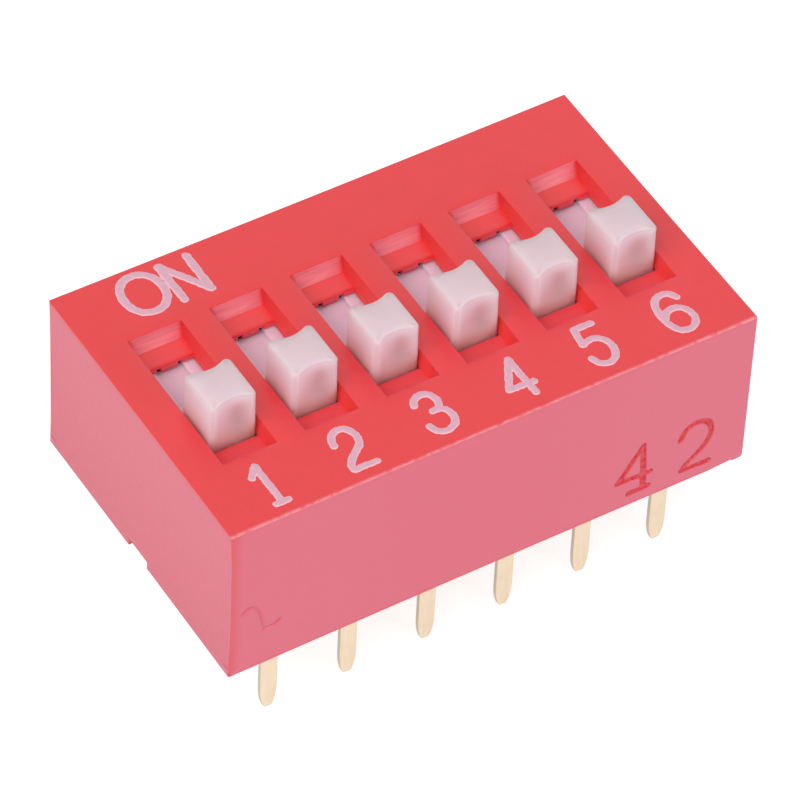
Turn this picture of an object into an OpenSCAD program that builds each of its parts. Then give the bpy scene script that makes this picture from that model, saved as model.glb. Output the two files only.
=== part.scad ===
// Six-way slide switch for through-hole circuit boards, in millimetres.
// The switches stand in a row along X, each one slides along Y, and Z points
// away from the board. The origin lies on the board's surface, midway between
// the two rows of pins. The switches are drawn open, at the -Y end of their travel.

/* [Housing] */
// Distance from one switch to the next
pitch = 2.54; // [2.4:0.02:2.8]
// Height of the housing from its rim to its top face
body_h = 5.57; // [5:0.01:6.5]
// Thickness of the long walls
side_wall = 0.75; // [0.6:0.05:1]
// Thickness of the end walls
end_wall = 0.8; // [0.6:0.05:1]
// Space between an outermost slider and the end wall
end_room = 0.2; // [0.1:0.05:0.5]
// Radius of the four upright corners
corner_r = 0.1; // [0.05:0.05:0.4]
// Diameter of the round foot under each corner
foot_d = 0.45; // [0.3:0.05:0.6]
// Height of the feet, which hold the rim off the board
foot_h = 0.1; // [0.05:0.05:0.3]
// Width of the vent notch in the rim of each end wall
vent_w = 1; // [0.6:0.1:2]
// Height of the vent notch
vent_h = 0.25; // [0.15:0.05:0.5]

/* [Windows] */
// Width of a window at the top face
window_w = 1.66; // [1.56:0.02:1.8]
// Length of a window at the top face
window_len = 5.16; // [4.9:0.02:5.6]
// Depth of the sunk part of a window, down to its two ledges
window_depth = 0.45; // [0.35:0.05:0.6]
// How far each side of a window leans in over that depth
side_lean = 0.08; // [0.04:0.01:0.12]
// How far each end of a window leans in over that depth
end_lean = 0.24; // [0.1:0.02:0.3]
// Thickness of the ledges
ledge_t = 0.22; // [0.18:0.02:0.4]
// Width of the tongue under each ledge, which runs in the slider's groove
tongue_w = 0.52; // [0.4:0.02:0.6]
// Depth of the tongue
tongue_h = 0.12; // [0.08:0.01:0.14]

/* [Sliders] */
// Distance that a slider moves from open to closed
travel = 1.9; // [1.6:0.05:2.3]
// Length of the knob, corner to corner
knob_len = 1.5; // [1.3:0.05:1.6]
// Height of the knob above the top face
knob_rise = 1.2; // [0.8:0.02:1.6]
// How far each side of the knob leans in from its foot to its top
knob_lean = 0.03; // [0.02:0.01:0.14]
// Radius of the hollows in the knob's front and back
hollow_r = 1; // [0.8:0.05:1.6]
// Radius of the knob's upright corners
knob_corner_r = 0.12; // [0.05:0.01:0.16]
// Radius of the rounding around the knob's top
knob_edge_r = 0.07; // [0.04:0.01:0.1]
// Width of the slider's plate
plate_w = 1.9; // [1.7:0.05:2]
// Thickness of the plate
plate_t = 0.85; // [0.7:0.05:1]
// Length of plate that stays under a ledge at the far end of the travel
plate_lap = 0.17; // [0.1:0.01:0.2]
// Width of the two runners under the plate
runner_w = 0.35; // [0.25:0.05:0.4]
// Diameter of the peg that locates the spring
peg_d = 0.36; // [0.3:0.02:0.4]
// Length of the peg
peg_h = 0.2; // [0.12:0.02:0.3]

/* [Springs] */
// Width of the spring strip
spring_w = 0.8; // [0.6:0.05:0.9]
// Width of the slits that split each arm into two fingers
slit_w = 0.2; // [0.1:0.02:0.3]
// Thickness of the spring strip
spring_t = 0.1; // [0.06:0.01:0.12]
// How far the foot of a closed switch's spring reaches onto the front pad
pad_lap = 0.225; // [0.2:0.005:0.4]
// Half the length of the spring's flat middle
spring_flat = 0.5; // [0.4:0.05:0.55]
// Radius of the feet, to the middle of the strip
spring_foot_r = 0.2; // [0.15:0.01:0.24]
// Radius of the bends beside the flat middle
spring_bend_r = 0.2; // [0.15:0.01:0.24]

/* [Terminals] */
// Distance between the two rows of pins
row_spacing = 7.62; // [7:0.02:8.4]
// Width of the terminal strip inside the base
terminal_w = 0.9; // [0.75:0.05:0.95]
// Width of a pin
pin_w = 0.54; // [0.4:0.02:0.6]
// Thickness of the terminal strip
strip_t = 0.2; // [0.15:0.01:0.25]
// Length of the pins below the board's surface
pin_len = 3.4; // [2.6:0.1:4]
// Length of the tapered tip of a pin
tip_len = 1; // [0.5:0.05:1.2]
// Width of the end of a pin
tip_w = 0.26; // [0.1:0.02:0.3]
// Outer radius of the bend from pin to contact pad
bend_r = 0.35; // [0.3:0.05:0.5]
// Gap between the front and rear contact pads
contact_gap = 0.55; // [0.45:0.05:0.6]
// Height of the contact pads above the floor that they lie in
pad_proud = 0.08; // [0.04:0.01:0.12]

/* [Base and seal] */
// Thickness of the base outside the pins
base_wall = 0.3; // [0.2:0.05:0.6]
// Height of the chamber between the base and the plates above it
chamber_h = 0.9; // [0.85:0.05:1.2]
// Radius of the half-round beads that snap the base into the end walls
bead_r = 0.18; // [0.1:0.02:0.25]
// Length of the beads
bead_len = 3; // [2:0.1:6]
// Height of the beads above the underside of the base
bead_rise = 0.6; // [0.4:0.05:1.2]
// Thickness of the resin that seals the base in the housing
seal_t = 0.45; // [0.3:0.05:0.6]
// How far the resin lies inside the housing's rim
seal_inset = 0.1; // [0.05:0.05:0.3]

/* [Fits] */
// Gap above, below and beside the moving plates
slide_gap = 0.03; // [0.02:0.01:0.06]
// Gap between a knob and the end of its opening
end_gap = 0.02; // [0.01:0.01:0.05]
// Gap on each side of a tongue in its groove
tongue_gap = 0.12; // [0.06:0.01:0.16]
// Gap between the plates and the ribs of the base
rib_gap = 0.1; // [0.06:0.01:0.12]
// Gap around pieces that don't move in one another
fit_gap = 0.01; // [0.01:0.005:0.02]

/* [Hidden] */
switches = 6;

// Heights, from the board upward
rim_z = foot_h;
top_z = rim_z + body_h;
ledge_z = top_z - window_depth;
ceiling_z = ledge_z - ledge_t;
plate_top_z = ceiling_z - slide_gap;
plate_z = plate_top_z - plate_t;
base_top_z = plate_z - chamber_h;
base_z = rim_z + seal_inset + seal_t;
pad_top_z = base_top_z + pad_proud;
knob_top_z = top_z + knob_rise;

// Sliders and their springs
opening_w = window_w - 2 * side_lean;
opening_len = knob_len + travel + 2 * end_gap;
plate_len = opening_len + travel + 2 * plate_lap;
knob_foot_w = opening_w - 2 * slide_gap;
groove_w = tongue_w + 2 * tongue_gap;
groove_h = tongue_h + slide_gap;
channel_w = plate_w - 2 * runner_w;
rib_t = pitch - plate_w - 2 * rib_gap;
// Middle of the gap between the pads, over which a spring's rear foot stands when open
gap_y = contact_gap / 4 + pad_lap / 2;
foot_span = travel + 2 * gap_y;

// The cavity is as wide as the base around the pins needs, or as the sliders need
cavity_len = (switches - 1) * pitch + plate_w + 2 * end_room;
cavity_w = max(
    row_spacing + strip_t + 2 * base_wall + 4 * fit_gap,
    plate_len + travel + 2 * slide_gap
);
body_len = cavity_len + 2 * end_wall;
body_w = cavity_w + 2 * side_wall;

// Cuts run past the faces that they open by this much
past = 0.2;

function switch_x(number) = (number - (switches + 1) / 2) * pitch;

// Points along an arc, angles in degrees
function arc(middle, r, from, to, steps) = [
    for (k = [0 : steps])
        let (a = from + (to - from) * k / steps)
            middle + r * [cos(a), sin(a)]
];

function mirrored(points) = [for (k = [len(points) - 1 : -1 : 0]) [-points[k].x, points[k].y]];

function rounded_rectangle(w, d, r) = concat(
    arc([w / 2 - r, d / 2 - r], r, 0, 90, 6),
    arc([r - w / 2, d / 2 - r], r, 90, 180, 6),
    arc([r - w / 2, r - d / 2], r, 180, 270, 6),
    arc([w / 2 - r, r - d / 2], r, 270, 360, 6)
);

// Section of the sunk part of a window, which leans in on both sides
function window_section(w, lean) = let (rise = past * lean / window_depth) [
    [lean - w / 2, ledge_z],
    [w / 2 - lean, ledge_z],
    [w / 2 + rise, top_z + past],
    [-w / 2 - rise, top_z + past]
];

module window() {
    intersection() {
        translate([-window_w, 0, 0])
            rotate([90, 0, 90])
                linear_extrude(2 * window_w)
                    polygon(window_section(window_len, end_lean));
        translate([0, window_len, 0])
            rotate([90, 0, 0])
                linear_extrude(2 * window_len)
                    polygon(window_section(window_w, side_lean));
    }
    translate([-opening_w / 2, -opening_len / 2, ceiling_z - past])
        cube([opening_w, opening_len, ledge_t + 2 * past]);
}

// Ribs under the two ledges of a window, one at each end of the opening
module tongues() {
    tongue_len = (cavity_w - opening_len) / 2 + past;
    for (side = [0, 1])
        mirror([0, side, 0])
            translate([-tongue_w / 2, opening_len / 2, ceiling_z - tongue_h])
                cube([tongue_w, tongue_len, tongue_h + ledge_t / 2]);
}

// Beads on both ends of the base, or the grooves for them when gap is above zero
module beads(gap) {
    for (side = [0, 1])
        mirror([side, 0, 0])
            translate([cavity_len / 2 - fit_gap, bead_len / 2 + gap, base_z + bead_rise])
                rotate([90, 0, 0])
                    cylinder(r = bead_r + gap, h = bead_len + 2 * gap, $fn = 24);
}

module feet() {
    reach = foot_d / 2 + fit_gap;
    for (x = [-1, 1], y = [-1, 1])
        translate([x * (body_len / 2 - reach), y * (body_w / 2 - reach), 0])
            cylinder(d = foot_d, h = foot_h + past, $fn = 24);
}

module housing() {
    color("#e0484c") {
        difference() {
            translate([0, 0, rim_z])
                linear_extrude(body_h)
                    polygon(rounded_rectangle(body_len, body_w, corner_r));
            translate([-cavity_len / 2, -cavity_w / 2, rim_z - past])
                cube([cavity_len, cavity_w, ceiling_z - rim_z + past]);
            for (number = [1 : switches])
                translate([switch_x(number), 0, 0])
                    window();
            beads(fit_gap);
            translate([-body_len, -vent_w / 2, rim_z - past])
                cube([2 * body_len, vent_w, vent_h + past]);
        }
        for (number = [1 : switches])
            translate([switch_x(number), 0, 0])
                tongues();
        feet();
    }
}

// Room for one front terminal in the base: a slot for its leg and a tray for its pad
module terminal_slot(pad_end) {
    slot_w = terminal_w + 2 * fit_gap;
    leg_y = -row_spacing / 2 - strip_t / 2 - fit_gap;
    pad_z = pad_top_z - strip_t - fit_gap;
    translate([-slot_w / 2, leg_y, base_z - past])
        cube([slot_w, strip_t + 2 * fit_gap, base_top_z - base_z + 2 * past]);
    translate([-slot_w / 2, leg_y, pad_z])
        cube([slot_w, pad_end + fit_gap - leg_y, base_top_z - pad_z + past]);
    // Relief for the inner side of the bend
    translate([-slot_w / 2, leg_y, pad_top_z - bend_r - fit_gap])
        cube([slot_w, bend_r + fit_gap, bend_r + past]);
}

module base() {
    base_len = cavity_len - 2 * fit_gap;
    base_w = cavity_w - 2 * fit_gap;
    color("#2b2b2e")
        difference() {
            union() {
                translate([-base_len / 2, -base_w / 2, base_z])
                    cube([base_len, base_w, base_top_z - base_z]);
                for (number = [1 : switches - 1])
                    translate([switch_x(number) + (pitch - rib_t) / 2, -base_w / 2, base_z])
                        cube([rib_t, base_w, ceiling_z - fit_gap - base_z]);
                beads(0);
            }
            for (number = [1 : switches])
                translate([switch_x(number), 0, 0]) {
                    terminal_slot(gap_y - contact_gap / 2);
                    mirror([0, 1, 0])
                        terminal_slot(-gap_y - contact_gap / 2);
                }
        }
}

module bottom_seal() {
    hole_w = pin_w + 2 * fit_gap;
    hole_t = strip_t + 2 * fit_gap;
    color("#c9a26a")
        difference() {
            translate([fit_gap - cavity_len / 2, fit_gap - cavity_w / 2, rim_z + seal_inset])
                cube([cavity_len - 2 * fit_gap, cavity_w - 2 * fit_gap, seal_t - fit_gap]);
            for (number = [1 : switches], side = [-1, 1])
                translate([switch_x(number) - hole_w / 2, side * row_spacing / 2 - hole_t / 2, 0])
                    cube([hole_w, hole_t, base_z + past]);
        }
}

// Strip of one front terminal seen from the side: pin, bend and contact pad
function terminal_side(pad_end) =
    let (
        outer_y = -row_spacing / 2 - strip_t / 2,
        bend = [outer_y + bend_r, pad_top_z - bend_r]
    )
    concat(
        [[outer_y, -pin_len]],
        arc(bend, bend_r, 180, 90, 8),
        [[pad_end, pad_top_z], [pad_end, pad_top_z - strip_t]],
        arc(bend, bend_r - strip_t, 90, 180, 8),
        [[outer_y + strip_t, -pin_len]]
    );

// Right half of a terminal seen from the front, from its tip upward
function terminal_half() = concat(
    [
        for (k = [0 : 6])
            let (rise = k / 6)
                [pin_w / 2 - (pin_w - tip_w) / 2 * pow(1 - rise, 2), tip_len * rise - pin_len]
    ],
    [
        [pin_w / 2, base_z + fit_gap],
        [terminal_w / 2, base_z + (terminal_w - pin_w) / 2],
        [terminal_w / 2, pad_top_z + past]
    ]
);

module terminal(pad_end) {
    half = terminal_half();
    color("#e6c88c")
        intersection() {
            translate([-terminal_w, 0, 0])
                rotate([90, 0, 90])
                    linear_extrude(2 * terminal_w)
                        polygon(terminal_side(pad_end));
            translate([0, body_w, 0])
                rotate([90, 0, 0])
                    linear_extrude(2 * body_w)
                        polygon(concat(half, mirrored(half)));
        }
}

module front_terminal(number) {
    translate([switch_x(number), 0, 0])
        terminal(gap_y - contact_gap / 2);
}

module rear_terminal(number) {
    translate([switch_x(number), 0, 0])
        mirror([0, 1, 0])
            terminal(-gap_y - contact_gap / 2);
}

// Right half of the knob's outline, front to back, for half sizes w and d.
// inset is how far the rounding of the top has moved the outline inward.
function knob_half(w, d, inset) =
    let (
        hollow = hollow_r + inset,
        corner = [w - knob_corner_r, d - knob_corner_r],
        reach = hollow + knob_corner_r,
        hollow_y = corner.y + sqrt(reach * reach - corner.x * corner.x),
        turn = asin(corner.x / reach),
        back = concat(
            arc(corner, knob_corner_r, 0, 90 + turn, 5),
            [
                for (k = [1 : 4])
                    let (a = turn * (1 - k / 4))
                        [hollow * sin(a), hollow_y - hollow * cos(a)]
            ]
        ),
        last = len(back) - 1
    )
    concat([for (k = [last : -1 : 0]) [back[k].x, -back[k].y]], back);

function knob_outline(w, d, inset) =
    let (
        half = knob_half(w, d, inset),
        last = len(half) - 1
    )
    concat(half, [for (k = [last - 1 : -1 : 1]) [-half[k].x, half[k].y]]);

// Levels of the knob as [height, sideways inset, rounding inset]
function knob_levels() =
    let (foot_z = plate_top_z - plate_t / 2, shoulder_z = knob_top_z - knob_edge_r)
    concat(
        [[foot_z, 0, 0], [ledge_z, 0, 0]],
        [
            for (k = [0 : 4])
                let (a = 90 * k / 4, z = shoulder_z + knob_edge_r * sin(a))
                    [
                        z,
                        knob_lean * (z - ledge_z) / (knob_top_z - ledge_z),
                        knob_edge_r * (1 - cos(a))
                    ]
        ]
    );

// Solid through outlines that all have the same number of points, bottom to top
module loft(rings) {
    count = len(rings[0]);
    last = len(rings) - 1;
    sides = [
        for (level = [0 : last - 1], k = [0 : count - 1])
            let (a = level * count + k, b = level * count + (k + 1) % count)
                [a, a + count, b + count, b]
    ];
    bottom = [for (k = [0 : count - 1]) k];
    top = [for (k = [count - 1 : -1 : 0]) last * count + k];
    polyhedron([for (ring = rings, point = ring) point], concat(sides, [bottom, top]));
}

module knob() {
    loft([
        for (level = knob_levels())
            let (w = knob_foot_w / 2 - level[1] - level[2], d = knob_len / 2 - level[2])
                [for (point = knob_outline(w, d, level[2])) [point.x, point.y, level[0]]]
    ]);
}

// Slider about the middle of its knob: a channel with its open side down,
// two rails along its top, and the knob standing between them
module slider_shape() {
    runner_z = base_top_z + slide_gap;
    difference() {
        translate([-plate_w / 2, -plate_len / 2, runner_z])
            cube([plate_w, plate_len, plate_top_z - runner_z]);
        translate([-channel_w / 2, -plate_len / 2 - past, runner_z - past])
            cube([channel_w, plate_len + 2 * past, plate_z - runner_z + past]);
        translate([-groove_w / 2, -plate_len / 2 - past, plate_top_z - groove_h])
            cube([groove_w, plate_len + 2 * past, groove_h + past]);
    }
    knob();
    // Straight-sided foot of the knob, which closes its hollows below the ledges
    translate([-knob_foot_w / 2, -knob_len / 2, plate_top_z - plate_t / 4])
        cube([knob_foot_w, knob_len, ledge_z - slide_gap - plate_top_z + plate_t / 4]);
    translate([0, 0, plate_z - peg_h])
        cylinder(d = peg_d, h = peg_h + plate_t / 4, $fn = 24);
}

module slider(number) {
    color("#e8d6da")
        translate([switch_x(number), -travel / 2, 0])
            slider_shape();
}

// Right half of the middle line of a spring, from its flat middle to its tip
function spring_line() =
    let (
        top = plate_z - fit_gap - spring_t / 2,
        low = pad_top_z + fit_gap + spring_t / 2,
        bend = [spring_flat, top - spring_bend_r],
        foot = [foot_span / 2, low + spring_foot_r],
        gap = foot - bend,
        distance = norm(gap),
        // The arm is the crossed tangent of the two bends
        arm = atan2(gap.y, gap.x) - asin((spring_bend_r + spring_foot_r) / distance)
    )
    concat(
        arc(bend, spring_bend_r, 90, arm + 90, 6),
        arc(foot, spring_foot_r, arm + 270, 315, 8)
    );

// Outline of a strip of thickness t whose middle line runs through the points
function strip_outline(points, t) =
    let (
        last = len(points) - 1,
        normals = [
            for (k = [0 : last])
                let (
                    ahead = points[min(k + 1, last)] - points[max(k - 1, 0)],
                    along = ahead / norm(ahead)
                )
                [-along.y, along.x] * t / 2
        ]
    )
    concat(
        [for (k = [0 : last]) points[k] + normals[k]],
        [for (k = [last : -1 : 0]) points[k] - normals[k]]
    );

module spring_shape() {
    line = spring_line();
    difference() {
        translate([-spring_w / 2, 0, 0])
            rotate([90, 0, 90])
                linear_extrude(spring_w)
                    polygon(strip_outline(concat(mirrored(line), line), spring_t));
        translate([0, 0, plate_z - 2 * spring_t])
            cylinder(d = peg_d + 4 * fit_gap, h = 4 * spring_t, $fn = 24);
        for (side = [0, 1])
            mirror([0, side, 0])
                translate([-slit_w / 2, spring_flat + spring_bend_r, base_top_z])
                    cube([slit_w, foot_span, chamber_h]);
    }
}

module spring(number) {
    color("#d8b070")
        translate([switch_x(number), -travel / 2, 0])
            spring_shape();
}

housing();
base();
bottom_seal();
slider(1);  // slider_1
slider(2);  // slider_2
slider(3);  // slider_3
slider(4);  // slider_4
slider(5);  // slider_5
slider(6);  // slider_6
spring(1);  // spring_1
spring(2);  // spring_2
spring(3);  // spring_3
spring(4);  // spring_4
spring(5);  // spring_5
spring(6);  // spring_6
front_terminal(1);  // front_terminal_1
front_terminal(2);  // front_terminal_2
front_terminal(3);  // front_terminal_3
front_terminal(4);  // front_terminal_4
front_terminal(5);  // front_terminal_5
front_terminal(6);  // front_terminal_6
rear_terminal(1);  // rear_terminal_1
rear_terminal(2);  // rear_terminal_2
rear_terminal(3);  // rear_terminal_3
rear_terminal(4);  // rear_terminal_4
rear_terminal(5);  // rear_terminal_5
rear_terminal(6);  // rear_terminal_6
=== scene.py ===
"""Dresses the six-way slide switch: housing, sliders, terminals, seal and print.

Each operator makes one piece, or one group of like pieces, and puts it on the
body that carries it. Sizes are in metres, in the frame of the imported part:
X along the row of switches, Z away from the board, sliders open at -Y.
"""

import bmesh
import bpy
import numpy as np
from bpy.props import FloatProperty, FloatVectorProperty, PointerProperty
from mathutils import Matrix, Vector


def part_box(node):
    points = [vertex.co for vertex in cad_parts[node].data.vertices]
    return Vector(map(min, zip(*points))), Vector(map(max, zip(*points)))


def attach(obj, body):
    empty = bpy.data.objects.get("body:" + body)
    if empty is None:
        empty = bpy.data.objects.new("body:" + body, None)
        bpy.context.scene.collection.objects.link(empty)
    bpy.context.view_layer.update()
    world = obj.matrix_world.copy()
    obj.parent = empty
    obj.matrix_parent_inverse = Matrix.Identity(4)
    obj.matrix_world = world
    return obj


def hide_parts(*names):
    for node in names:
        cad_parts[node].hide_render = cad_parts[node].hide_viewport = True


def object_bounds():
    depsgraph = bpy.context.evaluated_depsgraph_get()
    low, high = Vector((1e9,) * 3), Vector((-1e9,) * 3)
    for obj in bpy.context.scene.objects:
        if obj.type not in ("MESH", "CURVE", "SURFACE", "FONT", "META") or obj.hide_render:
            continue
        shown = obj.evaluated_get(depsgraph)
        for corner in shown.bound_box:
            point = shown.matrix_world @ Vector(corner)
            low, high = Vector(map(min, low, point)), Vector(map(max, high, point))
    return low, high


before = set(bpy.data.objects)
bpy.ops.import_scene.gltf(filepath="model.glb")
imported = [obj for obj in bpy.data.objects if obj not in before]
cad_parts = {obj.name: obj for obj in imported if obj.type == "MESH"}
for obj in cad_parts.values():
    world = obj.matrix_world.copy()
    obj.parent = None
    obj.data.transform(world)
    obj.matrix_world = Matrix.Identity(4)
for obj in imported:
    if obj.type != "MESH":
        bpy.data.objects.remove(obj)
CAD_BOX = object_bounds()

bl_info = {
    "name": "Slide switch looks",
    "version": (1, 0, 0),
    "blender": (4, 5, 0),
    "location": "3D View > Sidebar > Slide switch",
    "description": "Makes the visible pieces of a six-way slide switch on its frame",
    "category": "Object",
}

MM = 0.001
WELD = 1e-9  # Points that agree to this many metres are one point
SWITCHES = 6
MAIN_BODY = "switch_body"

# Strokes of the print, in millimetres on the top face: (is it curved, points)
PRINT = {
    "on": [
        (True, [(-5.32, 3.93), (-5.4, 4.31), (-5.62, 4.57), (-5.92, 4.66), (-6.24, 4.57),
                (-6.46, 4.31), (-6.53, 3.93), (-6.46, 3.55), (-6.24, 3.29), (-5.92, 3.2),
                (-5.62, 3.29), (-5.4, 3.55), (-5.32, 3.93)]),
        (False, [(-5.05, 3.2), (-5.08, 4.61), (-4.2, 3.22), (-4.2, 4.61)]),
    ],
    "1": [
        (False, [(-6.76, -3.39), (-6.49, -3.06), (-6.47, -4.5)]),
        (False, [(-6.65, -4.5), (-6.28, -4.5)]),
    ],
    "2": [
        (True, [(-4.27, -3.45), (-4.21, -3.22), (-4.08, -3.06), (-3.89, -3.0), (-3.71, -3.06),
                (-3.59, -3.24), (-3.56, -3.5), (-3.63, -3.71), (-3.82, -3.88), (-4.04, -4.05),
                (-4.18, -4.22), (-4.24, -4.37), (-4.2, -4.46)]),
        (False, [(-4.2, -4.46), (-3.54, -4.47)]),
    ],
    "3": [
        (True, [(-1.65, -3.25), (-1.55, -3.07), (-1.35, -2.98), (-1.16, -3.01), (-1.04, -3.16),
                (-0.99, -3.39), (-1.08, -3.6), (-1.3, -3.65)]),
        (True, [(-1.2, -3.64), (-1.04, -3.69), (-0.92, -3.84), (-0.89, -4.07), (-0.97, -4.28),
                (-1.17, -4.41), (-1.41, -4.42), (-1.59, -4.29), (-1.67, -4.09)]),
    ],
    "4": [(False, [(1.5, -4.41), (1.46, -3.02), (0.9, -4.0), (1.67, -4.03)])],
    "5": [
        (False, [(4.15, -2.95), (3.61, -2.95), (3.53, -3.55)]),
        (True, [(3.53, -3.55), (3.67, -3.5), (3.86, -3.47), (4.04, -3.53), (4.18, -3.71),
                (4.23, -3.97), (4.15, -4.24), (3.95, -4.42), (3.73, -4.42), (3.56, -4.3),
                (3.47, -4.1)]),
    ],
    "6": [
        (True, [(6.74, -3.25), (6.65, -3.09), (6.48, -3.0), (6.27, -3.02), (6.1, -3.16),
                (6.0, -3.43), (5.97, -3.83), (6.05, -4.17), (6.2, -4.38), (6.44, -4.45),
                (6.68, -4.32), (6.79, -4.06), (6.74, -3.79), (6.57, -3.61), (6.34, -3.57),
                (6.14, -3.66), (6.03, -3.83)]),
    ],
}

# Strokes cut into the front wall, in millimetres along X and Z
MOULD_DIGITS = [
    (False, [(4.95, 0.58), (4.86, 2.27), (4.1, 1.1), (5.16, 1.06)]),
    (False, [(4.5, 0.5), (5.12, 0.5)]),
    (True, [(6.11, 1.81), (6.24, 2.11), (6.48, 2.27), (6.79, 2.26), (7.04, 2.06), (7.12, 1.7),
            (6.95, 1.27), (6.65, 0.95), (6.35, 0.7), (6.23, 0.52)]),
    (False, [(6.23, 0.52), (7.12, 0.49)]),
]
MOULD_MARK = [
    (True, [(-7.9, 2.38), (-7.77, 2.5), (-7.56, 2.51), (-7.4, 2.23), (-7.32, 1.9),
            (-7.22, 1.45)]),
    (False, [(-7.22, 1.43), (-6.88, 1.43), (-6.72, 1.58)]),
]

# Corners of a quad as slices of the grid: low left, low right, high right, high left
QUAD_CORNERS = (
    (slice(None, -1), slice(None, -1)), (slice(None, -1), slice(1, None)),
    (slice(1, None), slice(1, None)), (slice(1, None), slice(None, -1)),
)
# Steps from a padded grid's corner to the quad below, right of, above and left of each one
BESIDE = ((0, 1), (1, 2), (2, 1), (1, 0))

REACH = 2.9 * MM  # From the middle of a switch to the front and back of its cell
PIN_ROW = 3.81 * MM  # From the middle of the switch to each row of pins
# Steps across the front of each cell, finer over the cut digits, and across every back
CELL_STEPS = (48, 48, 48, 48, 84, 84, 12)
# Rows of the outer wall, in millimetres: close together over the cut digits, and plain
FINE_ROWS = np.linspace(0.38, 2.62, 71)
PLAIN_ROWS = np.array([3.2, 4.2, 5.0, 5.4])
# Rings of a window that bound its walls, and those that bound its ledges
WALL_RINGS, LEDGE_RINGS = slice(5, 7), slice(8, 10)
# Rings of a foot from the bottom up: share that is drawn in, and height in millimetres
FOOT_RINGS = ((0.26, 0), (0.08, 0.015), (0, 0.05), (0, 0.3))
# A face of the housing is in a cut stroke where all of its points carry more than this mark
CUT_MARK = 0.3

# Place, side and colour of each lamp, in metres
KEY_LAMP = (-0.228, -0.108, 0.31), 0.45, (1, 1, 1)
FILL_LAMP = (0.132, -0.328, 0.076), 0.14, (0.76, 0.88, 1.0)
# Place of the camera in millimetres, and its turn in degrees
CAMERA_PLACE = np.array([-64.13, -97.49, 127.09])
CAMERA_TURN = (42.970, -2.102, -31.095)


def length(name, description, default):
    """A size, whose default is given in millimetres."""
    return FloatProperty(name=name, description=description, default=default * MM,
                         min=0, unit="LENGTH", precision=5)


def color(name, description, default):
    """A colour, in the linear values that the shader works with."""
    return FloatVectorProperty(name=name, description=description, default=default,
                               min=0, max=1, size=4, subtype="COLOR")


class HousingSettings(bpy.types.PropertyGroup):
    """Sizes and finish of the moulded cover."""
    pitch: length("Pitch", "Distance from one switch to the next", 2.54)
    side_wall: length("Side wall", "Thickness of the long walls", 0.75)
    end_wall: length("End wall", "Thickness of the end walls", 0.8)
    roof: length("Roof", "Thickness of the top between the windows", 0.67)
    corner: length("Corner", "Radius of the upright corners", 0.05)
    edge: length("Edge", "Rounding along the top edges", 0.045)
    bow: length("Bow", "How far the long walls draw in at their middle", 0.03)
    waist: length("Waist", "How far the left end wall draws in at half its height", 0.05)
    rim: length("Rim", "Height of the rim above the board", 0.035)
    warp: length("Warp", "How far the rim rises at the front right corner", 0.06)
    worn: length("Worn corner", "Rounding of the right end's lower corners", 0.22)
    foot: length("Foot", "How far each foot runs along the two walls at its corner", 0.38)
    vent_width: length("Vent width", "Width of the notch in each end wall's rim", 1.0)
    vent_height: length("Vent height", "Height of that notch", 0.25)
    window_width: length("Window width", "Width of a window at the top face", 1.66)
    window_length: length("Window length", "Length of a window at the top face", 5.16)
    window_depth: length("Window depth", "Depth of the ledges in a window", 0.45)
    window_edge: length("Window edge", "Rounding around a window and at its walls' foot", 0.03)
    side_lean: length("Side lean", "How far a window's sides lean in", 0.08)
    end_lean: length("End lean", "How far a window's ends lean in", 0.24)
    opening: length("Opening", "Length of the opening between the ledges", 3.44)
    lip: length("Lip", "Rounding where a ledge drops to the opening", 0.09)
    tongue_width: length("Tongue width", "Width of the tongue under a ledge", 0.52)
    tongue_height: length("Tongue height", "Height of that tongue", 0.09)
    relief: length("Relief", "Height of the relief on each side of the tongue", 0.11)
    relief_width: length("Relief width", "Width of that relief", 0.15)
    bead: length("Bead", "Radius of the groove that the base snaps into", 0.19)
    bead_height: length("Bead height", "Height of that groove above the board", 1.25)
    bead_length: length("Bead length", "Length of that groove along an end wall", 3.0)
    digit_width: length("Digit width", "Width of the strokes in the front wall", 0.21)
    digit_depth: length("Digit depth", "Depth of those strokes", 0.065)
    mark_width: length("Mark width", "Width of the faint mark in the front wall", 0.14)
    mark_depth: length("Mark depth", "Depth of that mark", 0.03)
    burr: length("Burr", "How far the torn edge along the front stands out", 0.014)
    color: color("Colour", "Moulded plastic of the housing", (0.86, 0.008, 0.002, 1))
    veil: color("Veil", "Tint of the pale film that shows at a slant", (0.7, 0.58, 1.0, 1))
    # The next two colours are painted sheen: they draw the front wall, the windows' far ends
    # and their ledges paler, in place of the pale reflection on them
    painted_sheen: color("Bloom", "Plastic of the front wall, which is paler", (0.86, 0.088, 0.13, 1))
    end_painted_sheen: color("End bloom", "Plastic of the windows' far ends", (0.91, 0.155, 0.185, 1))
    # Painted light and shade on the windows' sides: side colour and side cloud are lighter
    # than the housing plastic, and side shade darkens the ends of a side
    side_color: color("Side colour", "Plastic of the windows' sides", (0.95, 0.075, 0.075, 1))
    side_cloud: color("Side cloud", "The same where it is cloudy", (0.95, 0.08, 0.07, 1))
    side_shade: color("Side shade", "The same near the ends of a side", (0.68, 0.03, 0.03, 1))
    cut_color: color("Cut colour", "Bottom of the cut strokes", (0.90, 0.12, 0.14, 1))
    cut_cloud: color("Cut cloud", "The same where it is cloudy", (0.83, 0.04, 0.05, 1))
    # Painted shade on the steep sides of the cut strokes
    cut_shade: color("Cut shade", "Sides of the cut strokes", (0.66, 0.005, 0.02, 1))
    # Painted shade: the dark line around the cut strokes and the faint mark
    cut_painted_shade: color("Cut line", "Dark line around the cut strokes", (0.68, 0.02, 0.03, 1))
    burr_color: color("Burr colour", "Torn edge along the front", (0.92, 0.24, 0.24, 1))


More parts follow.
